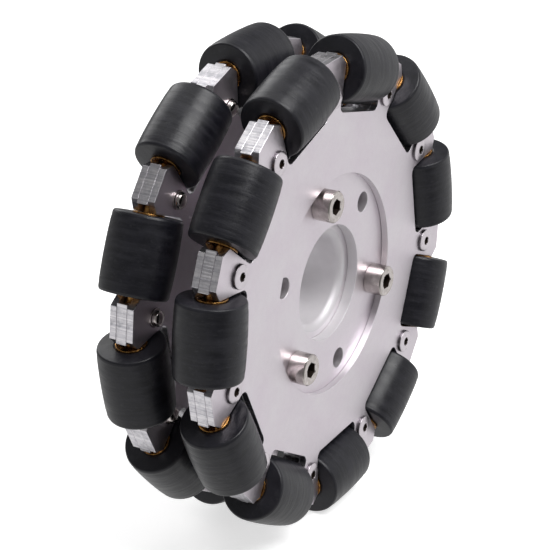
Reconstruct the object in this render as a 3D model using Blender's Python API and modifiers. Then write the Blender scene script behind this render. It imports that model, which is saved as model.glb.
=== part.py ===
"""Double-row omni wheel, 203 mm: two identical eleven-roller wheels bolted to one hub spacer.

Each single wheel is a sandwich of an outer plate, a thicker core plate and an inner plate. The plates
end in eleven tabs, and the core's tabs hold the pins on which the barrel rollers turn. Both wheels have
the heads of their tab screws outside. The rear wheel stands half a turn away from the front wheel, which
puts its rollers behind the front wheel's tabs.

Frame: origin at the wheel's centre, wheel axis along Y with the front face towards -Y, +Z up.
Every piece is modelled with the wheel axis along its local Z; the wheel's empty stands it upright.
"""
from math import cos, pi, radians, sin

import bmesh
import bpy

# Driving dimensions, in metres
ROLLERS_PER_ROW = 11
ROW_SPACING = 0.0340            # between the two planes that hold the roller axes
FRONT_TURN = radians(223.0)     # where the front wheel's tab 0 points, from +X towards +Z
FIT_GAP = 0.0003                # left between pieces that touch

ROLLER_CIRCLE = 0.0869          # radius at which the roller axes lie
ROLLER_RADIUS = 0.0141          # at the middle of the barrel
ROLLER_CROWN = 0.0005           # how much thinner the barrel is towards its ends
ROLLER_LENGTH = 0.0308
ROLLER_EDGE = 0.0008            # rounded end edge of the rubber
FLANGE_RADIUS = 0.0062          # brass bushing at each end of a roller
FLANGE_HEIGHT = 0.0004
PIN_RADIUS = 0.0022
PIN_LENGTH = 0.0462

PLATE_THICKNESS = 0.0030
CORE_THICKNESS = 0.0046
NOTCH_FLOOR = 0.0705            # distance of a notch's floor from the wheel axis
NOTCH_WIDTH = 0.0322            # of the outer and inner plates
TAB_RADIUS = 0.0949             # distance of a tab's flat end from the wheel axis
TAB_CUT_ALONG_END = 0.0045      # the plates' tab corners are cut off
TAB_CUT_ALONG_SIDE = 0.0042
CORE_NOTCH_WIDTH = 0.0376       # the core's notch is wider where the rollers' bushings stand
CORE_STEP_RADIUS = 0.0800
PLATE_OPENING = 0.0457          # radius of the round window in each plate

HUB_BORE = 0.0240               # radius of the hole through the core plates
BOLT_CIRCLE = 0.0380
BOLT_HOLE = 0.0043              # radius, clearance for an M8 screw
BOLT_COUNT = 6                  # three hold the wheel together, three stay free for a drive hub
SPACER_BORE = 0.0185

SCREW_HEAD_RADIUS = 0.0065      # M8 socket cap screw
SCREW_HEAD_HEIGHT = 0.0078
SCREW_SHANK_RADIUS = 0.0039
SCREW_LENGTH = 0.0500
SCREW_CHAMFER = 0.0006
SOCKET_ACROSS_FLATS = 0.0060
SOCKET_DEPTH = 0.0040
NUT_ACROSS_FLATS = 0.0130
NUT_HEIGHT = 0.0065

TAB_SCREW_CIRCLE = 0.0803
TAB_HEAD_RADIUS = 0.00475       # M5 button head
TAB_HEAD_TOP = 0.0028
TAB_HEAD_HEIGHT = 0.0024

ROUND_STEPS = 32
ROLLER_STEPS = 16
HOLE_STEPS = 12
HEAD_STEPS = 10

PITCH = 2 * pi / ROLLERS_PER_ROW
# A faceted bore is narrower across its flats than across its corners
ROLLER_BORE = (PIN_RADIUS + FIT_GAP) / cos(pi / ROLLER_STEPS)
SCREW_ANGLES = [2 * k * 2 * pi / BOLT_COUNT for k in range(BOLT_COUNT // 2)]
MERGE = 0.00001


def clear_scene():
    for item in list(bpy.data.objects):
        bpy.data.objects.remove(item, do_unlink=True)


def new_collection(name):
    collection = bpy.data.collections.new(name)
    bpy.context.scene.collection.children.link(collection)
    return collection


def new_material(name, colour, roughness, metallic):
    material = bpy.data.materials.new(name)
    material.use_nodes = True
    shader = material.node_tree.nodes["Principled BSDF"]
    shader.inputs["Base Color"].default_value = (*colour, 1.0)
    shader.inputs["Roughness"].default_value = roughness
    shader.inputs["Metallic"].default_value = metallic
    return material


def new_empty(name, parent=None, height=0.0, turn=0.0):
    empty = bpy.data.objects.new(name, None)
    PIECES.objects.link(empty)
    empty.parent = parent
    empty.location.z = height
    empty.rotation_euler.z = turn
    return empty


def place(item, parent, location=(0.0, 0.0, 0.0), rotation=(0.0, 0.0, 0.0)):
    item.parent = parent
    item.location = location
    item.rotation_euler = rotation
    return item


def smooth(mesh, angle=radians(35)):
    mesh.shade_smooth()
    mesh.set_sharp_from_angle(angle=angle)


# ---- Outlines, as lists of (x, y) ----

def circle(radius, steps, centre=(0.0, 0.0)):
    turns = [2 * pi * k / steps for k in range(steps)]
    return [(centre[0] + radius * cos(t), centre[1] + radius * sin(t)) for t in turns]


def bolt_holes():
    holes = []
    for k in range(BOLT_COUNT):
        turn = 2 * pi * k / BOLT_COUNT
        centre = (BOLT_CIRCLE * cos(turn), BOLT_CIRCLE * sin(turn))
        holes.append(circle(BOLT_HOLE, HOLE_STEPS, centre))
    return holes


def from_notch(out, along):
    """A point of the notch that follows tab 0, seen in tab 0's own frame.

    out is measured from the wheel axis through the notch's middle, along from that middle line.
    """
    half = PITCH / 2
    return (out * cos(half) + along * sin(half), out * sin(half) - along * cos(half))


def end_of_wall(half_width):
    """How far out a notch wall meets the flat end of the tab."""
    half = PITCH / 2
    return (TAB_RADIUS - half_width * sin(half)) / cos(half)


def plate_tab_side():
    """One side of a plate's tab, from the notch floor out to the flat end."""
    half_width = NOTCH_WIDTH / 2
    corner_out = end_of_wall(half_width)
    corner = from_notch(corner_out, half_width)
    return [
        from_notch(NOTCH_FLOOR, half_width),
        from_notch(corner_out - TAB_CUT_ALONG_SIDE, half_width),
        (TAB_RADIUS, corner[1] - TAB_CUT_ALONG_END),
    ]


def core_tab_side():
    """One side of the core's tab, with the step for the bushing and the slot for the pin."""
    wall = NOTCH_WIDTH / 2
    set_back = CORE_NOTCH_WIDTH / 2
    slot_low = ROLLER_CIRCLE - PIN_RADIUS - FIT_GAP
    slot_high = ROLLER_CIRCLE + PIN_RADIUS + FIT_GAP
    slot_end = PIN_LENGTH / 2 + FIT_GAP
    return [
        from_notch(NOTCH_FLOOR, wall),
        from_notch(CORE_STEP_RADIUS, wall),
        from_notch(CORE_STEP_RADIUS, set_back),
        from_notch(slot_low, set_back),
        from_notch(slot_low, slot_end),
        from_notch(slot_high, slot_end),
        from_notch(slot_high, set_back),
        from_notch(end_of_wall(set_back), set_back),
    ]


def tabbed_outline(side):
    """Repeats a tab, whose other side mirrors the given one, round the wheel."""
    tab = [(x, -y) for x, y in side] + side[::-1]
    outline = []
    for k in range(ROLLERS_PER_ROW):
        c, s = cos(k * PITCH), sin(k * PITCH)
        outline += [(x * c - y * s, x * s + y * c) for x, y in tab]
    return outline


# ---- Solids ----

def filled(outlines):
    """A flat mesh on the XY plane; outlines inside the first one are holes."""
    flat = bpy.data.curves.new("outline", "CURVE")
    flat.dimensions = "2D"
    flat.fill_mode = "BOTH"
    for outline in outlines:
        spline = flat.splines.new("POLY")
        spline.points.add(len(outline) - 1)
        for point, (x, y) in zip(spline.points, outline):
            point.co = (x, y, 0.0, 1.0)
        spline.use_cyclic_u = True
    guide = bpy.data.objects.new("outline", flat)
    PIECES.objects.link(guide)
    graph = bpy.context.evaluated_depsgraph_get()
    mesh = bpy.data.meshes.new_from_object(guide.evaluated_get(graph))
    bpy.data.objects.remove(guide)
    return mesh


def extruded(name, regions, thickness, material):
    """A flat piece centred on its local XY plane, from regions that meet along shared outlines."""
    body = bmesh.new()
    for outlines in regions:
        body.from_mesh(filled(outlines))
    bmesh.ops.remove_doubles(body, verts=body.verts, dist=MERGE)
    flat_faces = list(body.faces)
    rim = [edge for edge in body.edges if edge.is_boundary]
    above = {}
    for vertex in list(body.verts):
        above[vertex] = body.verts.new((vertex.co.x, vertex.co.y, thickness / 2))
        vertex.co.z = -thickness / 2
    for face in flat_faces:
        body.faces.new([above[vertex] for vertex in face.verts])
    for edge in rim:
        start, end = edge.verts
        body.faces.new((start, end, above[end], above[start]))
    bmesh.ops.recalc_face_normals(body, faces=body.faces)
    mesh = bpy.data.meshes.new(name)
    body.to_mesh(mesh)
    body.free()
    return finished(name, mesh, material)


def finished(name, mesh, material, collection=None):
    mesh.name = name
    mesh.materials.clear()
    mesh.materials.append(material)
    item = bpy.data.objects.new(name, mesh)
    (collection or PIECES).objects.link(item)
    return item


def turned(name, profile, steps, material, ring=False):
    """A round piece about its local Z, from a profile of (radius, height) that runs top to bottom."""
    mesh = bpy.data.meshes.new(name)
    edges = [(k, k + 1) for k in range(len(profile) - 1)]
    if ring:
        edges.append((len(profile) - 1, 0))
    mesh.from_pydata([(r, 0.0, z) for r, z in profile], edges, [])
    item = finished(name, mesh, material)
    screw = item.modifiers.new("turn", "SCREW")
    screw.axis = "Z"
    screw.steps = steps
    screw.render_steps = steps
    screw.use_merge_vertices = True
    screw.merge_threshold = MERGE
    screw.use_smooth_shade = False
    return item


def baked(item):
    """The item with its modifiers applied to its mesh, shaded as a round piece."""
    graph = bpy.context.evaluated_depsgraph_get()
    mesh = bpy.data.meshes.new_from_object(item.evaluated_get(graph))
    item.modifiers.clear()
    item.data = mesh
    smooth(mesh)
    return item


def boolean(item, other, operation):
    other.hide_render = True
    other.display_type = "WIRE"
    modifier = item.modifiers.new(operation.lower(), "BOOLEAN")
    modifier.operation = operation
    modifier.solver = "EXACT"
    modifier.object = other


# ---- The wheel's pieces ----

def tab_screw_heads(name, height):
    """The button heads of one wheel, a shade deeper than they stand so that they join the plate."""
    body = bmesh.new()
    for k in range(ROLLERS_PER_ROW):
        before = set(body.verts)
        bmesh.ops.create_cone(body, cap_ends=True, segments=HEAD_STEPS, radius1=TAB_HEAD_RADIUS,
                              radius2=TAB_HEAD_TOP, depth=TAB_HEAD_HEIGHT)
        head = [v for v in body.verts if v not in before]
        centre = (TAB_SCREW_CIRCLE * cos(k * PITCH), TAB_SCREW_CIRCLE * sin(k * PITCH), height)
        bmesh.ops.translate(body, verts=head, vec=centre)
    mesh = bpy.data.meshes.new(name)
    body.to_mesh(mesh)
    body.free()
    return finished(name, mesh, STEEL, CUTTERS)


def make_plate(name, row, side, with_heads):
    """side is +1 for the plate in front of the core and -1 for the one behind it."""
    window = circle(PLATE_OPENING, ROUND_STEPS)
    thickness = PLATE_THICKNESS - FIT_GAP
    plate = extruded(name, [[tabbed_outline(plate_tab_side()), window]], thickness, ALUMINIUM)
    face = CORE_THICKNESS / 2 + PLATE_THICKNESS
    height = side * (face - thickness / 2)
    place(plate, row, location=(0.0, 0.0, height))
    if with_heads:
        heads = tab_screw_heads(name + "_heads", (thickness + TAB_HEAD_HEIGHT) / 2 - FIT_GAP)
        face_back = 0.0 if side > 0 else pi
        place(heads, row, location=(0.0, 0.0, height), rotation=(face_back, 0.0, 0.0))
        boolean(plate, heads, "UNION")


def make_core(name, row):
    window = circle(PLATE_OPENING, ROUND_STEPS)
    rim = [tabbed_outline(core_tab_side()), window]
    hub_ring = [window, circle(HUB_BORE, ROUND_STEPS)] + bolt_holes()
    place(extruded(name, [rim, hub_ring], CORE_THICKNESS, ALUMINIUM), row)


def roller_profile():
    """Outer side top to bottom, then the bore; both ends carry the flange of a bushing."""
    end = ROLLER_LENGTH / 2
    tip = end + FLANGE_HEIGHT
    shoulder = ROLLER_RADIUS - ROLLER_CROWN
    upper = [
        (ROLLER_BORE, tip),
        (FLANGE_RADIUS, tip),
        (FLANGE_RADIUS, end),
        (shoulder - ROLLER_EDGE, end),
        (shoulder, end - ROLLER_EDGE),
    ]
    lower = [(r, -z) for r, z in upper[::-1]]
    return upper + [(ROLLER_RADIUS, 0.0)] + lower


def make_rollers(prefix, row):
    """Rollers and their pins, each with its origin at its own centre and its axis along local Z."""
    roller_mesh = None
    pin_mesh = None
    for k in range(ROLLERS_PER_ROW):
        turn = (k + 0.5) * PITCH
        centre = (ROLLER_CIRCLE * cos(turn), ROLLER_CIRCLE * sin(turn), 0.0)
        lie = (-pi / 2, 0.0, turn)
        number = f"{k + 1:02d}"
        if roller_mesh is None:
            roller = turned(f"{prefix}_roller_{number}", roller_profile(), ROLLER_STEPS, RUBBER, ring=True)
            pin = turned(f"{prefix}_axle_pin_{number}", pin_profile(), HEAD_STEPS, STEEL)
            roller_mesh = baked(roller).data
            pin_mesh = baked(pin).data
        else:
            roller = finished(f"{prefix}_roller_{number}", roller_mesh, RUBBER)
            pin = finished(f"{prefix}_axle_pin_{number}", pin_mesh, STEEL)
        place(roller, row, centre, lie)
        place(pin, row, centre, lie)


def pin_profile():
    half = PIN_LENGTH / 2
    return [(0.0, half), (PIN_RADIUS, half), (PIN_RADIUS, -half), (0.0, -half)]


def make_single_wheel(prefix, wheel, side, turn):
    """side is +1 for the front wheel and -1 for the rear wheel."""
    row = new_empty(prefix + "_wheel", wheel, side * ROW_SPACING / 2, turn)
    make_plate(prefix + "_outer_plate", row, side, with_heads=True)
    make_core(prefix + "_core_plate", row)
    make_plate(prefix + "_inner_plate", row, -side, with_heads=False)
    make_rollers(prefix, row)


def make_spacer(hub):
    """The turned block between the two cores, which fits the windows of both inner plates."""
    length = ROW_SPACING - CORE_THICKNESS - 2 * FIT_GAP
    rim = circle(PLATE_OPENING - FIT_GAP, ROUND_STEPS)
    bore = circle(SPACER_BORE, ROUND_STEPS)
    place(extruded("hub_spacer", [[rim, bore] + bolt_holes()], length, ALUMINIUM), hub)


def cap_screw_profile():
    """Height 0 is the underside of the head; the shank runs down from it."""
    return [
        (0.0, SCREW_HEAD_HEIGHT),
        (SCREW_HEAD_RADIUS - SCREW_CHAMFER, SCREW_HEAD_HEIGHT),
        (SCREW_HEAD_RADIUS, SCREW_HEAD_HEIGHT - SCREW_CHAMFER),
        (SCREW_HEAD_RADIUS, 0.0),
        (SCREW_SHANK_RADIUS, 0.0),
        (SCREW_SHANK_RADIUS, SCREW_CHAMFER - SCREW_LENGTH),
        (SCREW_SHANK_RADIUS - SCREW_CHAMFER, -SCREW_LENGTH),
        (0.0, -SCREW_LENGTH),
    ]


def hexagon(across_flats):
    return circle(across_flats / 2 / cos(pi / 6), 6)


def make_hub_fasteners(hub):
    seat = (ROW_SPACING + CORE_THICKNESS) / 2 + FIT_GAP
    for number, turn in enumerate(SCREW_ANGLES, start=1):
        x, y = BOLT_CIRCLE * cos(turn), BOLT_CIRCLE * sin(turn)
        screw = turned(f"cap_screw_{number}", cap_screw_profile(), HOLE_STEPS, STEEL)
        place(baked(screw), hub, location=(x, y, seat))
        socket = extruded(f"socket_cutter_{number}", [[hexagon(SOCKET_ACROSS_FLATS)]], 2 * SOCKET_DEPTH, STEEL)
        PIECES.objects.unlink(socket)
        CUTTERS.objects.link(socket)
        place(socket, hub, location=(x, y, seat + SCREW_HEAD_HEIGHT))
        boolean(screw, socket, "DIFFERENCE")
        nut_outline = [hexagon(NUT_ACROSS_FLATS), circle(BOLT_HOLE, HOLE_STEPS)]
        nut = extruded(f"hub_nut_{number}", [nut_outline], NUT_HEIGHT, STEEL)
        place(nut, hub, location=(x, y, -seat - NUT_HEIGHT / 2))


def make_wheel():
    wheel = new_empty("omni_wheel")
    wheel.rotation_euler.x = pi / 2
    make_single_wheel("front", wheel, 1, FRONT_TURN)
    make_single_wheel("rear", wheel, -1, FRONT_TURN + pi)
    hub = new_empty("hub", wheel, turn=FRONT_TURN)
    make_spacer(hub)
    make_hub_fasteners(hub)


clear_scene()
PIECES = new_collection("omni_wheel")
CUTTERS = new_collection("omni_wheel_cutters")
ALUMINIUM = new_material("aluminium", (0.60, 0.58, 0.60), 0.35, 1.0)
RUBBER = new_material("rubber", (0.030, 0.030, 0.033), 0.55, 0.0)
STEEL = new_material("steel", (0.62, 0.60, 0.58), 0.22, 1.0)
make_wheel()
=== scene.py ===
"""Looks of the double-row omni wheel: satin aluminium, rubber rollers on brass bushings, bright screws.

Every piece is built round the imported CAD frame, in metres. Flat and turned pieces have the wheel axis or
their own axis along local Z, and their object's transform stands them in their place.
"""
from math import atan2, ceil, cos, pi, radians, sin, tan

import bmesh
import bpy
from mathutils import Matrix, Vector


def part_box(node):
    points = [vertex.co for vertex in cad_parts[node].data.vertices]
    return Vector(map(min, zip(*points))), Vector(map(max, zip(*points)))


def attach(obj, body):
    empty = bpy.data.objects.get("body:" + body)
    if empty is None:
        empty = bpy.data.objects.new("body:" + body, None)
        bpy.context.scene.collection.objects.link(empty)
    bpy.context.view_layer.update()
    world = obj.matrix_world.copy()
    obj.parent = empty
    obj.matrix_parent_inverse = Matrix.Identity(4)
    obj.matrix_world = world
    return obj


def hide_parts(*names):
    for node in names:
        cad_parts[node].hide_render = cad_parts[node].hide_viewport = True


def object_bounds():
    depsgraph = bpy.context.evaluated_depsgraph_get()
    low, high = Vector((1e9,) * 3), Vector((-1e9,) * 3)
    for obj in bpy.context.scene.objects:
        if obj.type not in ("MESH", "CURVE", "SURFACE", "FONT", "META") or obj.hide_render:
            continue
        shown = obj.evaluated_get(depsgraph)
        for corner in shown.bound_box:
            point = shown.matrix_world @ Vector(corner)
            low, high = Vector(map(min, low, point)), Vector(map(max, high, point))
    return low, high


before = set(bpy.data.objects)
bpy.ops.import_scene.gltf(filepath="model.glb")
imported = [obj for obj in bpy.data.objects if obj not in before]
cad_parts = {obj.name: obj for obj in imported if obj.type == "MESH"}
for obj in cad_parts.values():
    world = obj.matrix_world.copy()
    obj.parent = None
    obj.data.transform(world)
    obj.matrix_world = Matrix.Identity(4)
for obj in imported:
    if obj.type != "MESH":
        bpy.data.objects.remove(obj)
CAD_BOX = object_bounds()
FRAME_BODY = "wheel_frame"

# ---- Dimensions shared with the CAD model ----
ROLLERS_PER_ROW = 11
PITCH = 2 * pi / ROLLERS_PER_ROW
FRONT_TURN = radians(223.0)
ROLLER_RADIUS = 0.0141
ROLLER_CROWN = 0.0005
ROLLER_LENGTH = 0.0308
PLATE_THICKNESS = 0.0030
CORE_THICKNESS = 0.0046
NOTCH_FLOOR = 0.0705
NOTCH_WIDTH = 0.0322
TAB_RADIUS = 0.0949
TAB_CUT_ALONG_END = 0.0045
TAB_CUT_ALONG_SIDE = 0.0042
CORE_NOTCH_WIDTH = 0.0376
CORE_STEP_RADIUS = 0.0800
PLATE_OPENING = 0.0457
HUB_BORE = 0.0240
BOLT_CIRCLE = 0.0380
BOLT_HOLE = 0.0043
BOLT_COUNT = 6
SPACER_BORE = 0.0185
TAB_SCREW_CIRCLE = 0.0803

# ---- Finer shape of each piece ----
PLATE_BEVEL = 0.00022
CORE_BEVEL = 0.00022
CORNER_FILLET = 0.0029          # in the notch corners
RIDGE_PITCH = 0.00125           # machining marks on the core's tab ends
RIDGE_DEPTH = 0.00007
SEAM = 0.00004                  # left between plates that lie on each other
TREAD_TRIM = 0.0001             # keeps the round barrels inside the CAD's many-sided ones
PIN_CORE = 0.0016               # radius of the steel pin inside the bushings' necks
SURROUND = 0.22                 # strength of the light from all sides
OWN_PLACE = "own_place"         # mesh attribute: a point's place in its piece's own frame

# Button head and rounded end of the M5 tab screws
BUTTON_RADIUS = 0.00485
BUTTON_RIM = 0.0010
BUTTON_HEIGHT = 0.0016
BUTTON_EDGE = 0.00012
BUTTON_DOME = radians(62)       # turn of the dome's arc, from the rim up to the socket's mouth
BUTTON_SOCKET = 0.0030          # across flats
BUTTON_SHADE_REACH = 0.00178           # the painted shade of the socket's inside reaches this far out
BUTTON_STEPS = 48
SCREW_TURN = 2.4                # radians from one tab's screw head to the next

# M8 cap screws and their nuts
CAP_HEAD_RADIUS = 0.0065
CAP_HEAD_HEIGHT = 0.0078
CAP_HEAD_EDGE = 0.0005
CAP_SOCKET = 0.0060             # across flats
CAP_SOCKET_DEPTH = 0.0040
# The cap screw socket's inside is painted dark as shade out to this radius.
CAP_SHADE_REACH = 0.0034
CAP_SHANK = 0.0039
CAP_PITCH = 0.00125
CAP_THREAD = (-0.0362, -0.0494)
CAP_END = -0.0500
NUT_WIDTH = 0.0130
NUT_HEIGHT = 0.0065
NUT_MOUTH = 0.0041

# Two soft bright regions of the surround: direction, where it starts and is full (as a cosine), strength
BRIGHT_REGIONS = (
    ((0.78, -0.56, -0.26), 0.22, 0.90, 0.87),
    ((-0.4, 0.35, -0.85), 0.20, 0.70, 0.85),
)

# Area lights: name, direction from the wheel, distance, size, power
AREA_LIGHTS = (
    ("key", (-0.02, -0.48, 0.88), 1.6, (1.0, 1.0), 23.0),
    ("top", (0.10, 0.30, 1.00), 1.7, (1.2, 1.2), 5.0),
    ("back", (0.5, 1.0, 0.6), 1.8, (1.2, 1.2), 10.0),
)

# Camera, fitted to the photograph's view of the wheel
CAMERA_AZIMUTH = radians(-59.46)
CAMERA_ELEVATION = radians(23.05)
CAMERA_LENS = 125.1
CAMERA_BACK = 0.7742
CAMERA_LEFT = 0.02193
CAMERA_UP = 0.00314
CAMERA_AIM = (0.0, -0.0193, 0.0)


# ---- Outlines ----

def circle(radius, steps, centre=(0.0, 0.0)):
    turns = [2 * pi * k / steps for k in range(steps)]
    return [(centre[0] + radius * cos(t), centre[1] + radius * sin(t)) for t in turns]


def rounded(corners, closed=True, steps=5):
    """Points of an outline whose corners (x, y, radius) are rounded off."""
    points = []
    last = len(corners) - 1
    for i, (x, y, radius) in enumerate(corners):
        here = Vector((x, y))
        if radius == 0 or (not closed and i in (0, last)):
            points.append((x, y))
            continue
        to_last = Vector(corners[i - 1][:2]) - here
        to_next = Vector(corners[(i + 1) % (last + 1)][:2]) - here
        half = to_last.angle(to_next) / 2
        reach = min(radius / tan(half), 0.49 * to_last.length, 0.49 * to_next.length)
        start = here + to_last.normalized() * reach
        end = here + to_next.normalized() * reach
        middle = here + (to_last.normalized() + to_next.normalized()).normalized() * (reach / cos(half))
        spread = (start - middle).angle(end - middle)
        for k in range(steps + 1):
            t = k / steps
            arm = (start - middle) * sin((1 - t) * spread) + (end - middle) * sin(t * spread)
            points.append(tuple(middle + arm / sin(spread)))
    return points


def from_notch(out, along):
    """A point of the notch that follows tab 0, in tab 0's own frame."""
    half = PITCH / 2
    return (out * cos(half) + along * sin(half), out * sin(half) - along * cos(half))


def end_of_wall(half_width):
    half = PITCH / 2
    return (TAB_RADIUS - half_width * sin(half)) / cos(half)


def round_the_wheel(side, end=()):
    """Repeats a tab eleven times. side is one side of it, root to tip; end is what lies between its tips."""
    tab = [(x, -y, r) for x, y, r in side] + list(end) + side[::-1]
    outline = []
    for k in range(ROLLERS_PER_ROW):
        c, s = cos(k * PITCH), sin(k * PITCH)
        outline += [(x * c - y * s, x * s + y * c, r) for x, y, r in tab]
    return rounded(outline)


def plate_outline():
    half_width = NOTCH_WIDTH / 2
    corner_out = end_of_wall(half_width)
    corner = from_notch(corner_out, half_width)
    side = [
        (*from_notch(NOTCH_FLOOR, half_width), CORNER_FILLET),
        (*from_notch(corner_out - TAB_CUT_ALONG_SIDE, half_width), 0.0004),
        (TAB_RADIUS, corner[1] - TAB_CUT_ALONG_END, 0.0004),
    ]
    return round_the_wheel(side)


def core_outline():
    wall = NOTCH_WIDTH / 2
    set_back = CORE_NOTCH_WIDTH / 2
    tip = from_notch(end_of_wall(set_back), set_back)
    side = [
        (*from_notch(NOTCH_FLOOR, wall), CORNER_FILLET),
        (*from_notch(CORE_STEP_RADIUS, wall), 0.0005),
        (*from_notch(CORE_STEP_RADIUS, set_back), 0.0005),
        (*tip, 0.0003),
    ]
    count = round((2 * tip[1] - RIDGE_PITCH) / RIDGE_PITCH)
    first = -RIDGE_PITCH * (count - 1) / 2
    ridges = []
    for k in range(count):
        y = first + k * RIDGE_PITCH
        ridges += [
            (TAB_RADIUS, y - 0.28 * RIDGE_PITCH, 0.0),
            (TAB_RADIUS - RIDGE_DEPTH, y, 0.0),
            (TAB_RADIUS, y + 0.28 * RIDGE_PITCH, 0.0),
        ]
    return round_the_wheel(side, ridges)


def bolt_holes(radius=BOLT_HOLE, steps=40):
    holes = []
    for k in range(BOLT_COUNT):
        turn = 2 * pi * k / BOLT_COUNT
        holes.append(circle(radius, steps, (BOLT_CIRCLE * cos(turn), BOLT_CIRCLE * sin(turn))))
    return holes


# ---- Meshes ----

def clean(mesh, sharp=radians(32), merge=1e-6):
    body = bmesh.new()
    body.from_mesh(mesh)
    bmesh.ops.remove_doubles(body, verts=body.verts, dist=merge)
    bmesh.ops.recalc_face_normals(body, faces=body.faces)
    body.to_mesh(mesh)
    body.free()
    mesh.shade_smooth()
    mesh.set_sharp_from_angle(angle=sharp)
    return mesh


def sheet(name, outlines, thickness, bevel):
    """A flat piece with rounded edges, centred on its local XY plane. Outlines after the first are holes."""
    flat = bpy.data.curves.new(name, "CURVE")
    flat.dimensions = "2D"
    flat.fill_mode = "BOTH"
    flat.extrude = thickness / 2 - bevel
    flat.bevel_depth = bevel
    flat.bevel_resolution = 2
    flat.offset = -bevel
    for outline in outlines:
        spline = flat.splines.new("POLY")
        spline.points.add(len(outline) - 1)
        for point, (x, y) in zip(spline.points, outline):
            point.co = (x, y, 0.0, 1.0)
        spline.use_cyclic_u = True
    guide = bpy.data.objects.new(name + "_outline", flat)
    bpy.context.scene.collection.objects.link(guide)
    graph = bpy.context.evaluated_depsgraph_get()
    mesh = bpy.data.meshes.new_from_object(guide.evaluated_get(graph))
    bpy.data.objects.remove(guide)
    mesh.name = name
    return clean(mesh, sharp=radians(40))


def ring(radius, height):
    return lambda turn: (radius, height)


def hexed(across_flats, height, chamfer_from=None):
    """A six-sided row. With chamfer_from, its corners drop below height as a 30 degree chamfer cuts them."""
    def row(turn):
        radius = across_flats / 2 / cos(turn % (pi / 3) - pi / 6)
        drop = 0.0 if chamfer_from is None else max(0.0, radius - chamfer_from) * tan(pi / 6)
        return radius, height - drop
    return row


def threaded(outer, pitch, top, bottom):
    """Rows of a screw thread, from top to bottom."""
    depth = 0.55 * pitch
    rows = []
    count = ceil((top - bottom) / (pitch / 6))
    for k in range(count + 1):
        height = top + (bottom - top) * k / count

        def row(turn, height=height):
            phase = (height / pitch - turn / (2 * pi)) % 1.0
            return outer - depth * abs(2 * phase - 1), height
        rows.append(row)
    return rows


def turned(name, rows, steps=48, closed=False, sharp=radians(32)):
    """A mesh about local Z from rows, top to bottom; a row gives (radius, height) at a turn."""
    vertices, loops = [], []
    for row in rows:
        if row(0.0)[0] < 1e-9:
            loops.append([len(vertices)])
            vertices.append((0.0, 0.0, row(0.0)[1]))
            continue
        loops.append(list(range(len(vertices), len(vertices) + steps)))
        for k in range(steps):
            turn = 2 * pi * k / steps
            radius, height = row(turn)
            vertices.append((radius * cos(turn), radius * sin(turn), height))
    faces = []
    pairs = list(zip(loops, loops[1:]))
    if closed:
        pairs.append((loops[-1], loops[0]))
    for upper, lower in pairs:
        for k in range(steps):
            n = (k + 1) % steps
            if len(upper) == 1:
                faces.append((upper[0], lower[k], lower[n]))
            elif len(lower) == 1:
                faces.append((upper[k], lower[0], upper[n]))
            else:
                faces.append((upper[k], lower[k], lower[n], upper[n]))
    mesh = bpy.data.meshes.new(name)
    mesh.from_pydata(vertices, [], faces)
    return clean(mesh, sharp)


def rings(points):
    return [ring(r, z) for r, z in points]


def joined(name, parts):
    """One mesh from (mesh, matrix) parts, with their material slots kept."""
    body = bmesh.new()
    for mesh, matrix in parts:
        piece = mesh.copy()
        piece.transform(matrix)
        body.from_mesh(piece)
        bpy.data.meshes.remove(piece)
    mesh = bpy.data.meshes.new(name)
    body.to_mesh(mesh)
    body.free()
    for material in parts[0][0].materials:
        mesh.materials.append(material)
    return mesh


def paint(mesh, materials, choose):
    """Gives the mesh its materials; choose(centre, normal) is a face's slot number."""
    mesh.materials.clear()
    for material in materials:
        mesh.materials.append(material)
    for face in mesh.polygons:
        face.material_index = choose(face.center, face.normal)
    return mesh


def stand(name, mesh, matrix, body, replaced=(), flat_faces=False):
    """Puts a piece in its place on its CAD body. Its mesh keeps each point's own place for the materials."""
    mesh = mesh.copy()
    mesh.name = name
    own = mesh.attributes.new(OWN_PLACE, "FLOAT_VECTOR", "POINT")
    own.data.foreach_set("vector", [c for v in mesh.vertices for c in v.co])
    mesh.transform(matrix)
    piece = bpy.data.objects.new(name, mesh)
    bpy.context.scene.collection.objects.link(piece)
    if flat_faces:
        even = piece.modifiers.new("flat faces", "WEIGHTED_NORMAL")
        even.keep_sharp = True
        even.weight = 100
    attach(piece, body)
    if replaced:
        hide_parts(*replaced)
    return piece


# ---- Materials ----

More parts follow.
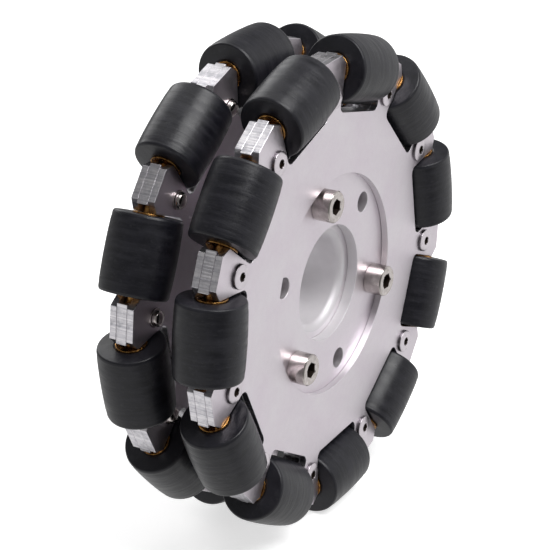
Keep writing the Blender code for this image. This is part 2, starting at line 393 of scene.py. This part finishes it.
class Shade:
    """A node material on one Principled shader."""

    def __init__(self, name, metallic, **constants):
        self.material = bpy.data.materials.new(name)
        self.material.use_nodes = True
        self.tree = self.material.node_tree
        self.shader = self.tree.nodes["Principled BSDF"]
        self.shader.inputs["Metallic"].default_value = metallic
        for socket, value in constants.items():
            self.shader.inputs[socket.replace("_", " ")].default_value = value
        self.place = self.add("ShaderNodeAttribute", attribute_name=OWN_PLACE).outputs["Vector"]

    def add(self, kind, inputs=(), **settings):
        node = self.tree.nodes.new(kind)
        for key, value in settings.items():
            setattr(node, key, value)
        for key, value in dict(inputs).items():
            if isinstance(value, bpy.types.NodeSocket):
                self.tree.links.new(value, node.inputs[key])
            else:
                node.inputs[key].default_value = value
        return node

    def noise(self, scale, detail=2.0, stretch=(1.0, 1.0, 1.0), roughness=0.5):
        spot = self.add("ShaderNodeMapping", {"Vector": self.place, "Scale": stretch}).outputs["Vector"]
        inputs = {"Vector": spot, "Scale": scale, "Detail": detail, "Roughness": roughness}
        return self.add("ShaderNodeTexNoise", inputs).outputs["Fac"]

    def spread(self, value, low, high, start=0.3, stop=0.7):
        inputs = {"Value": value, "From Min": start, "From Max": stop, "To Min": low, "To Max": high}
        return self.add("ShaderNodeMapRange", inputs).outputs["Result"]

    def blend(self, factor, first, second):
        node = self.add("ShaderNodeMix", data_type="RGBA")
        self.tree.links.new(factor, node.inputs[0])
        colours = [s for s in node.inputs if s.type == "RGBA"]
        for socket, value in zip(colours, (first, second)):
            if isinstance(value, bpy.types.NodeSocket):
                self.tree.links.new(value, socket)
            else:
                socket.default_value = (*value, 1.0)
        return [s for s in node.outputs if s.type == "RGBA"][0]

    def colour(self, value):
        self.tree.links.new(value, self.shader.inputs["Base Color"])

    def rough(self, value):
        self.tree.links.new(value, self.shader.inputs["Roughness"])

    def bump(self, *layers):
        """Layers of (height 0 to 1, depth in metres)."""
        normal = None
        for height, depth in layers:
            inputs = {"Height": height, "Distance": depth, "Strength": 1.0}
            if normal is not None:
                inputs["Normal"] = normal
            normal = self.add("ShaderNodeBump", inputs).outputs["Normal"]
        self.tree.links.new(normal, self.shader.inputs["Normal"])


def sheet_aluminium():
    s = Shade("sheet_aluminium", 1.0)
    clouds = s.spread(s.noise(55.0, 3.0), 0.0, 1.0)
    grain = s.noise(3800.0, 2.0)
    base = s.blend(clouds, (0.735, 0.670, 0.728), (0.765, 0.722, 0.760))
    s.colour(s.blend(s.spread(grain, 0.0, 0.18), base, (0.50, 0.48, 0.50)))
    s.rough(s.spread(s.noise(420.0, 3.0), 0.38, 0.48))
    s.bump((grain, 0.000006))
    return s.material


def cut_edge():
    """Milled or laser-cut edges, with marks that run through the sheet's thickness and worn patches."""
    s = Shade("cut_edge_aluminium", 1.0)
    marks = s.noise(1300.0, 3.0, stretch=(1.0, 1.0, 0.06), roughness=0.6)
    patches = s.noise(240.0, 4.0, roughness=0.6)
    base = s.blend(s.spread(marks, 0.0, 1.0), (0.50, 0.49, 0.53), (0.90, 0.87, 0.89))
    s.colour(s.blend(s.spread(patches, 0.0, 0.55, 0.48, 0.66), base, (0.34, 0.34, 0.37)))
    s.rough(s.spread(patches, 0.24, 0.44))
    s.bump((marks, 0.00006), (patches, 0.00010))
    return s.material


def turned_aluminium():
    """Lathe-turned faces and bores of the spacer: fine rings round local Z."""
    s = Shade("turned_aluminium", 1.0)
    parts = s.add("ShaderNodeSeparateXYZ", {"Vector": s.place})
    flat = s.add("ShaderNodeCombineXYZ", {"X": parts.outputs["X"], "Y": parts.outputs["Y"]})
    radius = s.add("ShaderNodeVectorMath", {0: flat.outputs["Vector"]}, operation="LENGTH").outputs["Value"]
    line = s.add("ShaderNodeCombineXYZ", {"X": radius, "Z": parts.outputs["Z"]}).outputs["Vector"]
    grooves = s.add("ShaderNodeTexNoise", {"Vector": line, "Scale": 2600.0, "Detail": 2.0}).outputs["Fac"]
    clouds = s.spread(s.noise(70.0, 2.0), 0.0, 1.0)
    s.colour(s.blend(clouds, (0.76, 0.73, 0.76), (0.81, 0.78, 0.80)))
    s.rough(s.spread(grooves, 0.42, 0.54))
    s.bump((grooves, 0.000003))
    return s.material


def bored_aluminium():
    """The hub's dull, blasted bore and its rounded mouth."""
    s = Shade("bored_aluminium", 0.85)
    clouds = s.spread(s.noise(60.0, 2.0), 0.0, 1.0)
    s.colour(s.blend(clouds, (0.71, 0.69, 0.71), (0.77, 0.75, 0.77)))
    s.rough(s.spread(s.noise(300.0, 3.0), 0.62, 0.70))
    return s.material


def moulded_rubber():
    """Moulded barrel: streaks round its axis and a mottled, slightly polished skin."""
    s = Shade("moulded_rubber", 0.0, Specular_IOR_Level=0.36)
    streaks = s.noise(520.0, 4.0, stretch=(0.10, 0.10, 1.0), roughness=0.6)
    mottle = s.noise(210.0, 5.0, roughness=0.65)
    pores = s.noise(2600.0, 2.0)
    tone = s.blend(s.spread(mottle, 0.0, 1.0), (0.0046, 0.0047, 0.0072), (0.0125, 0.0122, 0.0175))
    scuffs = s.noise(800.0, 4.0, stretch=(0.40, 0.40, 1.0), roughness=0.7)
    tone = s.blend(s.spread(scuffs, 0.0, 0.6, 0.55, 0.75), tone, (0.036, 0.036, 0.041))
    s.colour(s.blend(s.spread(streaks, 0.0, 0.6, 0.45, 0.7), tone, (0.023, 0.0225, 0.029)))
    s.rough(s.spread(streaks, 0.27, 0.46))
    s.bump((streaks, 0.00013), (mottle, 0.00008), (pores, 0.00002))
    return s.material


def turned_brass():
    s = Shade("turned_brass", 1.0)
    stain = s.spread(s.noise(650.0, 3.0), 0.0, 1.0, 0.35, 0.65)
    s.colour(s.blend(stain, (0.50, 0.27, 0.085), (0.17, 0.075, 0.022)))
    s.rough(s.spread(s.noise(1200.0), 0.20, 0.36))
    s.bump((s.noise(2200.0, 2.0), 0.000014))
    return s.material


def bright_nickel():
    s = Shade("bright_nickel", 1.0)
    smear = s.noise(300.0, 3.0)
    s.colour(s.blend(s.spread(smear, 0.0, 1.0), (0.44, 0.40, 0.38), (0.67, 0.62, 0.60)))
    s.rough(s.spread(smear, 0.13, 0.24))
    s.bump((s.noise(1800.0), 0.000004))
    return s.material


def zinc_plate():
    """The tab screws' duller plating."""
    s = Shade("zinc_plate", 1.0)
    smear = s.noise(520.0, 3.0)
    s.colour(s.blend(s.spread(smear, 0.0, 1.0), (0.63, 0.58, 0.62), (0.75, 0.70, 0.74)))
    s.rough(s.spread(smear, 0.26, 0.40))
    s.bump((s.noise(2400.0), 0.000006))
    return s.material


def rim_painted_shade():
    """The tab screws' rims, painted dark as shade: stands in for the shadow and dark reflection on the
    head's side.
    """
    s = Shade("rim_painted_shade", 1.0)
    s.colour(s.blend(s.noise(700.0, 2.0), (0.06, 0.055, 0.06), (0.30, 0.28, 0.30)))
    s.rough(s.spread(s.noise(1500.0), 0.25, 0.45))
    return s.material


def socket_painted_shade():
    """The inside of a hexagon socket, painted near-black as shade."""
    s = Shade("socket_painted_shade", 0.0, Specular_IOR_Level=0.25)
    s.colour(s.blend(s.noise(900.0, 2.0), (0.006, 0.004, 0.003), (0.030, 0.018, 0.012)))
    s.rough(s.spread(s.noise(1500.0), 0.45, 0.70))
    return s.material


SHEET = sheet_aluminium()
EDGE = cut_edge()
TURNED = turned_aluminium()
RUBBER = moulded_rubber()
BRASS = turned_brass()
BORED = bored_aluminium()
NICKEL = bright_nickel()
ZINC = zinc_plate()
SOCKET_PAINTED_SHADE = socket_painted_shade()
RIM_PAINTED_SHADE = rim_painted_shade()


def by_facing(centre, normal):
    """Slots: 0 flat faces of a sheet, 1 its outer edges, 2 its openings and 3 the hub bore."""
    if abs(normal.z) > 0.9:
        return 0
    if centre.xy.length < HUB_BORE + CORE_BEVEL:
        return 3
    return 2 if centre.xy.length < PLATE_OPENING + PLATE_BEVEL else 1


# ---- Plates ----

def row_matrix(prefix):
    """From a single wheel's own frame, with its axis along Z and tab 0 along X, to the wheel."""
    low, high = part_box(prefix + "_core_plate")
    turn = FRONT_TURN + (pi if prefix == "rear" else 0.0)
    stand_up = Matrix.Rotation(pi / 2, 4, "X")
    return Matrix.Translation((0.0, (low.y + high.y) / 2, 0.0)) @ stand_up @ Matrix.Rotation(turn, 4, "Z")


def lift(height):
    return Matrix.Translation((0.0, 0.0, height))


def make_plates(prefix, front_node, back_node):
    place = row_matrix(prefix)
    thickness = PLATE_THICKNESS - SEAM
    window = circle(PLATE_OPENING, 160)
    plate = sheet("tabbed_plate", [plate_outline(), window], thickness, PLATE_BEVEL)
    paint(plate, [SHEET, EDGE, TURNED], by_facing)
    height = CORE_THICKNESS / 2 + PLATE_THICKNESS - thickness / 2
    for node, side in ((front_node, 1), (back_node, -1)):
        stand(node + "_sheet", plate, place @ lift(side * height), FRAME_BODY, [node], True)
    outlines = [core_outline(), circle(HUB_BORE, 120)] + bolt_holes()
    core = sheet("core_plate", outlines, CORE_THICKNESS, CORE_BEVEL)
    paint(core, [SHEET, EDGE, TURNED, BORED], by_facing)
    node = prefix + "_core_plate"
    stand(node + "_body", core, place, FRAME_BODY, [node], True)


# ---- Tab screws ----

def button_screw():
    """M5 button head; height 0 is the underside of the head."""
    side = [(BUTTON_RADIUS - BUTTON_EDGE, 0.0), (BUTTON_RADIUS, BUTTON_EDGE), (BUTTON_RADIUS, BUTTON_RIM)]
    for turn in [BUTTON_DOME * k / 8 for k in range(1, 9)]:
        rise = (BUTTON_HEIGHT - BUTTON_RIM) * sin(turn) / sin(BUTTON_DOME)
        side.append((BUTTON_RADIUS * cos(turn), BUTTON_RIM + rise))
    rows = [
        ring(0.0, 0.0003),
        hexed(0.0024, 0.0004),
        hexed(BUTTON_SOCKET, 0.00055),
        hexed(BUTTON_SOCKET, BUTTON_HEIGHT - 0.0002),
        ring(0.00190, BUTTON_HEIGHT),
    ]
    rows += rings(side[::-1]) + [ring(0.0, 0.0)]
    mesh = turned("button_head", rows, BUTTON_STEPS)

    def surface(centre, normal):
        # Slot 1: the socket's inside, painted dark as shade.
        if centre.xy.length < BUTTON_SHADE_REACH and centre.z > 0.0002:
            return 1
        # Slot 2: the head's rim side, painted dark as shade.
        return 2 if centre.z < BUTTON_RIM else 0
    return paint(mesh, [ZINC, SOCKET_PAINTED_SHADE, RIM_PAINTED_SHADE], surface)


def screw_end():
    """A tab screw's rounded end in its pressed-in sleeve; height 0 is the face of the plate."""
    dome = [(0.0, 0.0032), (0.0016, 0.0031), (0.0026, 0.0027), (0.0032, 0.0020), (0.0033, 0.0014)]
    sleeve = [(0.0033, 0.0008), (0.0038, 0.0006), (0.0039, 0.0), (0.0, 0.0)]
    return paint(turned("screw_end", rings(dome + sleeve), 40), [NICKEL], lambda c, n: 0)


def make_tab_screws(prefix, outside):
    """outside is +1 for the wheel whose front side is its outer one, and -1 for the other."""
    place = row_matrix(prefix)
    face = CORE_THICKNESS / 2 + PLATE_THICKNESS
    head, end = button_screw(), screw_end()
    heads, ends = [], []
    for k in range(ROLLERS_PER_ROW):
        turn = k * PITCH
        spot = Matrix.Translation((TAB_SCREW_CIRCLE * cos(turn), TAB_SCREW_CIRCLE * sin(turn), 0.0))
        sides = [spot @ lift(face), spot @ lift(-face) @ Matrix.Rotation(pi, 4, "X")]
        outer, inner = sides[::outside]
        heads.append((head, outer @ Matrix.Rotation(k * SCREW_TURN, 4, "Z")))
        ends.append((end, inner))
    stand(prefix + "_tab_screw_heads", joined("tab_screw_heads", heads), place, FRAME_BODY)
    stand(prefix + "_tab_screw_ends", joined("tab_screw_ends", ends), place, FRAME_BODY)


# ---- Rollers ----

def rubber_barrel():
    end = ROLLER_LENGTH / 2
    widest = ROLLER_RADIUS - TREAD_TRIM
    shoulder = widest - ROLLER_CROWN
    bore = 0.0050
    corner = rounded([
        (bore, end - 0.0002, 0.0), (0.0066, end - 0.0002, 0.0), (0.0070, end, 0.0002),
        (shoulder - 0.0004, end, 0.0011), (shoulder, end - 0.0011, 0.0005),
        (shoulder + 0.0001, end - 0.003, 0.0),
    ], closed=False, steps=6)
    barrel = []
    for k in range(1, 12):
        z = (end - 0.003) * (1 - k / 12)
        barrel.append((shoulder + ROLLER_CROWN * (1 - (z / end) ** 2), z))
    upper = corner + barrel
    rows = upper + [(widest, 0.0)] + [(r, -z) for r, z in upper[::-1]]
    return paint(turned("rubber_barrel", rings(rows), 96, closed=True), [RUBBER], lambda c, n: 0)


def bushing_pair():
    end = ROLLER_LENGTH / 2
    bore = PIN_CORE + 0.00005
    neck = CORE_THICKNESS / 2 - 0.00005
    outer = rounded([
        (bore, end + 0.0032, 0.0), (neck, end + 0.0032, 0.00008), (neck, end + 0.0004, 0.0002),
        (0.0052, end + 0.0003, 0.0002), (0.0056, end + 0.00055, 0.0002), (0.0062, end + 0.00055, 0.0002),
        (0.0062, end - 0.0001, 0.0), (0.0050, end - 0.0001, 0.0), (0.0050, end - 0.006, 0.0),
        (bore, end - 0.006, 0.0),
    ], closed=False, steps=4)
    one = turned("bushing", rings(outer), 64, closed=True)
    paint(one, [BRASS], lambda c, n: 0)
    return joined("bushings", [(one, Matrix.Identity(4)), (one, Matrix.Rotation(pi, 4, "X"))])


def steel_pin(length):
    half = length / 2
    rows = rings([(0.0, half), (PIN_CORE, half), (PIN_CORE, -half), (0.0, -half)])
    return paint(turned("pin", rows, 32), [NICKEL], lambda c, n: 0)


def make_rollers():
    rubber, brass = rubber_barrel(), bushing_pair()
    pin = steel_pin(ROLLER_LENGTH + 0.0070)
    for prefix in ("front", "rear"):
        for k in range(ROLLERS_PER_ROW):
            number = f"{k + 1:02d}"
            node = f"{prefix}_roller_{number}"
            low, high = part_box(node)
            centre = (low + high) / 2
            turn = atan2(centre.z, centre.x)
            radial, tangent = (cos(turn), 0.0, -sin(turn)), (sin(turn), 0.0, cos(turn))
            axes = Matrix((radial, (0.0, 1.0, 0.0), tangent)).to_4x4()
            place = Matrix.Translation(centre) @ axes @ Matrix.Rotation(1.7 * k, 4, "Z")
            body = f"{prefix}_roller_body_{number}"
            stand(node + "_rubber", rubber, place, body, [node])
            stand(node + "_bushings", brass, place, body)
            pin_node = f"{prefix}_axle_pin_{number}"
            stand(pin_node + "_body", pin, place, FRAME_BODY, [pin_node])


# ---- Hub ----

def hub_matrix():
    return Matrix.Rotation(pi / 2, 4, "X") @ Matrix.Rotation(FRONT_TURN, 4, "Z")


def make_spacer():
    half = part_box("rear_core_plate")[0].y - SEAM
    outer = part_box("hub_spacer")[1].x
    profile = rounded([
        (outer, half, 0.0004), (outer, -half, 0.0004),
        (SPACER_BORE, -half, 0.0030), (SPACER_BORE, half, 0.0030),
    ], steps=8)
    block = bpy.data.objects.new("block", turned("spacer", rings(profile), 160, closed=True))
    bpy.context.scene.collection.objects.link(block)
    cutter_mesh = bpy.data.meshes.new("bolt_cutters")
    body = bmesh.new()
    for hole in bolt_holes():
        centre = sum((Vector(p) for p in hole), Vector((0.0, 0.0))) / len(hole)
        drill = bmesh.ops.create_cone(body, cap_ends=True, segments=32, radius1=BOLT_HOLE, radius2=BOLT_HOLE,
                                      depth=4 * half)
        bmesh.ops.translate(body, verts=drill["verts"], vec=(*centre, 0.0))
    body.to_mesh(cutter_mesh)
    body.free()
    cutter = bpy.data.objects.new("bolt_cutters", cutter_mesh)
    bpy.context.scene.collection.objects.link(cutter)
    cut = block.modifiers.new("bolt holes", "BOOLEAN")
    cut.operation = "DIFFERENCE"
    cut.solver = "EXACT"
    cut.object = cutter
    graph = bpy.context.evaluated_depsgraph_get()
    mesh = bpy.data.meshes.new_from_object(block.evaluated_get(graph))
    bpy.data.objects.remove(block)
    bpy.data.objects.remove(cutter)
    mouth = SPACER_BORE + 0.0032
    paint(clean(mesh), [TURNED, BORED], lambda c, n: 1 if c.xy.length < mouth else 0)
    stand("hub_spacer_body", mesh, hub_matrix(), FRAME_BODY, ["hub_spacer"], True)


def cap_screw():
    """M8 socket cap screw; height 0 is the underside of the head."""
    radius, top, edge = CAP_HEAD_RADIUS, CAP_HEAD_HEIGHT, CAP_HEAD_EDGE
    side = rounded([
        (0.0052, top, 0.0), (radius - edge, top, 0.00018), (radius, top - edge * 1.1, 0.0002),
        (radius, 0.0, 0.00025), (0.0040, 0.0, 0.0),
    ], closed=False, steps=4)
    rows = [
        ring(0.0, top - 0.0050),
        hexed(0.0044, top - 0.0044),
        hexed(CAP_SOCKET, top - CAP_SOCKET_DEPTH),
        hexed(CAP_SOCKET, top - 0.0003),
        ring(0.00365, top),
    ]
    rows += rings(side) + rings([(CAP_SHANK, -0.0002), (CAP_SHANK, -0.0360)])
    rows += threaded(CAP_SHANK, CAP_PITCH, *CAP_THREAD) + [ring(0.0030, CAP_END), ring(0.0, CAP_END)]
    mesh = turned("cap_screw", rows, 60)

    def surface(centre, normal):
        # The socket's inside takes the painted shade material.
        in_shaded_socket = centre.xy.length < CAP_SHADE_REACH and top - 0.0051 < centre.z < top - 0.0002
        return 1 if in_shaded_socket else 0
    return paint(mesh, [NICKEL, SOCKET_PAINTED_SHADE], surface)


def hub_nut():
    chamfer = NUT_WIDTH / 2 * 0.95
    rows = [hexed(NUT_WIDTH, 0.0), hexed(NUT_WIDTH, NUT_HEIGHT / 2), hexed(NUT_WIDTH, NUT_HEIGHT, chamfer)]
    rows += rings([(chamfer, NUT_HEIGHT), (NUT_MOUTH + 0.0006, NUT_HEIGHT)])
    rows += rings([(NUT_MOUTH, NUT_HEIGHT - 0.0005), (NUT_MOUTH, 0.0)])
    return paint(turned("hub_nut", rows, 60, closed=True), [NICKEL], lambda c, n: 0)


def make_hub_fasteners():
    screw, nut = cap_screw(), hub_nut()
    stand_up = Matrix.Rotation(pi / 2, 4, "X")
    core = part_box("front_core_plate")[0].y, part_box("rear_core_plate")[1].y
    for number in range(1, BOLT_COUNT // 2 + 1):
        low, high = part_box(f"cap_screw_{number}")
        x, z = (low.x + high.x) / 2, (low.z + high.z) / 2
        seat = Matrix.Translation((x, core[0] - SEAM, z)) @ stand_up @ Matrix.Rotation(0.5 * number, 4, "Z")
        stand(f"cap_screw_{number}_body", screw, seat, FRAME_BODY, [f"cap_screw_{number}"])
        back = Matrix.Translation((x, core[1] + SEAM, z)) @ Matrix.Rotation(-pi / 2, 4, "X")
        back = back @ Matrix.Rotation(0.7 * number, 4, "Z")
        stand(f"hub_nut_{number}_body", nut, back, FRAME_BODY, [f"hub_nut_{number}"])


# ---- Stage ----

def make_floor():
    size = 6.0
    body = bmesh.new()
    bmesh.ops.create_grid(body, x_segments=8, y_segments=8, size=size)
    mesh = bpy.data.meshes.new("floor")
    body.to_mesh(mesh)
    body.free()
    floor = bpy.data.objects.new("floor", mesh)
    bpy.context.scene.collection.objects.link(floor)
    floor.location.z = CAD_BOX[0].z
    pale = bpy.data.materials.new("pale_floor")
    pale.use_nodes = True
    shader = pale.node_tree.nodes["Principled BSDF"]
    shader.inputs["Base Color"].default_value = (0.8, 0.8, 0.8, 1.0)
    shader.inputs["Roughness"].default_value = 0.9
    shader.inputs["Specular IOR Level"].default_value = 0.0
    shader.inputs["Emission Color"].default_value = (1.0, 1.0, 1.0, 1.0)
    shader.inputs["Emission Strength"].default_value = 0.62
    mesh.materials.append(pale)
    floor.visible_glossy = False
    floor.visible_diffuse = False


def make_world():
    """A dim surround with two soft bright regions: one in front and to the right, and one below."""
    world = bpy.data.worlds.new("studio")
    bpy.context.scene.world = world
    world.use_nodes = True
    tree = world.node_tree
    spot = tree.nodes.new("ShaderNodeTexCoord").outputs["Generated"]
    strength = None
    for direction, start, stop, high in BRIGHT_REGIONS:
        toward = tree.nodes.new("ShaderNodeVectorMath")
        toward.operation = "DOT_PRODUCT"
        toward.inputs[1].default_value = Vector(direction).normalized()
        tree.links.new(spot, toward.inputs[0])
        ramp = tree.nodes.new("ShaderNodeMapRange")
        ramp.interpolation_type = "SMOOTHSTEP"
        for key, value in (("From Min", start), ("From Max", stop), ("To Min", SURROUND), ("To Max", high)):
            ramp.inputs[key].default_value = value
        tree.links.new(toward.outputs["Value"], ramp.inputs["Value"])
        if strength is None:
            strength = ramp.outputs["Result"]
            continue
        brighter = tree.nodes.new("ShaderNodeMath")
        brighter.operation = "MAXIMUM"
        tree.links.new(strength, brighter.inputs[0])
        tree.links.new(ramp.outputs["Result"], brighter.inputs[1])
        strength = brighter.outputs["Value"]
    background = tree.nodes["Background"]
    background.inputs["Color"].default_value = (1.0, 1.0, 1.0, 1.0)
    tree.links.new(strength, background.inputs["Strength"])


def area_light(name, direction, distance, size, power):
    data = bpy.data.lights.new(name, "AREA")
    data.shape = "RECTANGLE"
    data.size, data.size_y = size
    data.energy = power
    light = bpy.data.objects.new(name, data)
    bpy.context.scene.collection.objects.link(light)
    toward = Vector(direction).normalized()
    light.location = toward * distance
    light.rotation_euler = toward.to_track_quat("Z", "Y").to_euler()


def make_camera():
    level = cos(CAMERA_ELEVATION)
    back = Vector((sin(CAMERA_AZIMUTH) * level, -cos(CAMERA_AZIMUTH) * level, sin(CAMERA_ELEVATION)))
    right = Vector((cos(CAMERA_AZIMUTH), sin(CAMERA_AZIMUTH), 0.0))
    up = back.cross(right)
    data = bpy.data.cameras.new("camera")
    data.lens = CAMERA_LENS
    data.sensor_width = 36.0
    data.clip_end = 50.0
    camera = bpy.data.objects.new("camera", data)
    bpy.context.scene.collection.objects.link(camera)
    place = back * CAMERA_BACK - right * CAMERA_LEFT + up * CAMERA_UP + Vector(CAMERA_AIM)
    turn = Matrix((right, up, back)).transposed().to_4x4()
    camera.matrix_world = Matrix.Translation(place) @ turn
    bpy.context.scene.camera = camera


make_plates("front", "front_outer_plate", "front_inner_plate")
make_plates("rear", "rear_inner_plate", "rear_outer_plate")
make_tab_screws("front", 1)
make_tab_screws("rear", -1)
make_rollers()
make_spacer()
make_hub_fasteners()
make_floor()
make_world()
for light in AREA_LIGHTS:
    area_light(*light)
make_camera()
bpy.context.scene.view_settings.view_transform = "Standard"
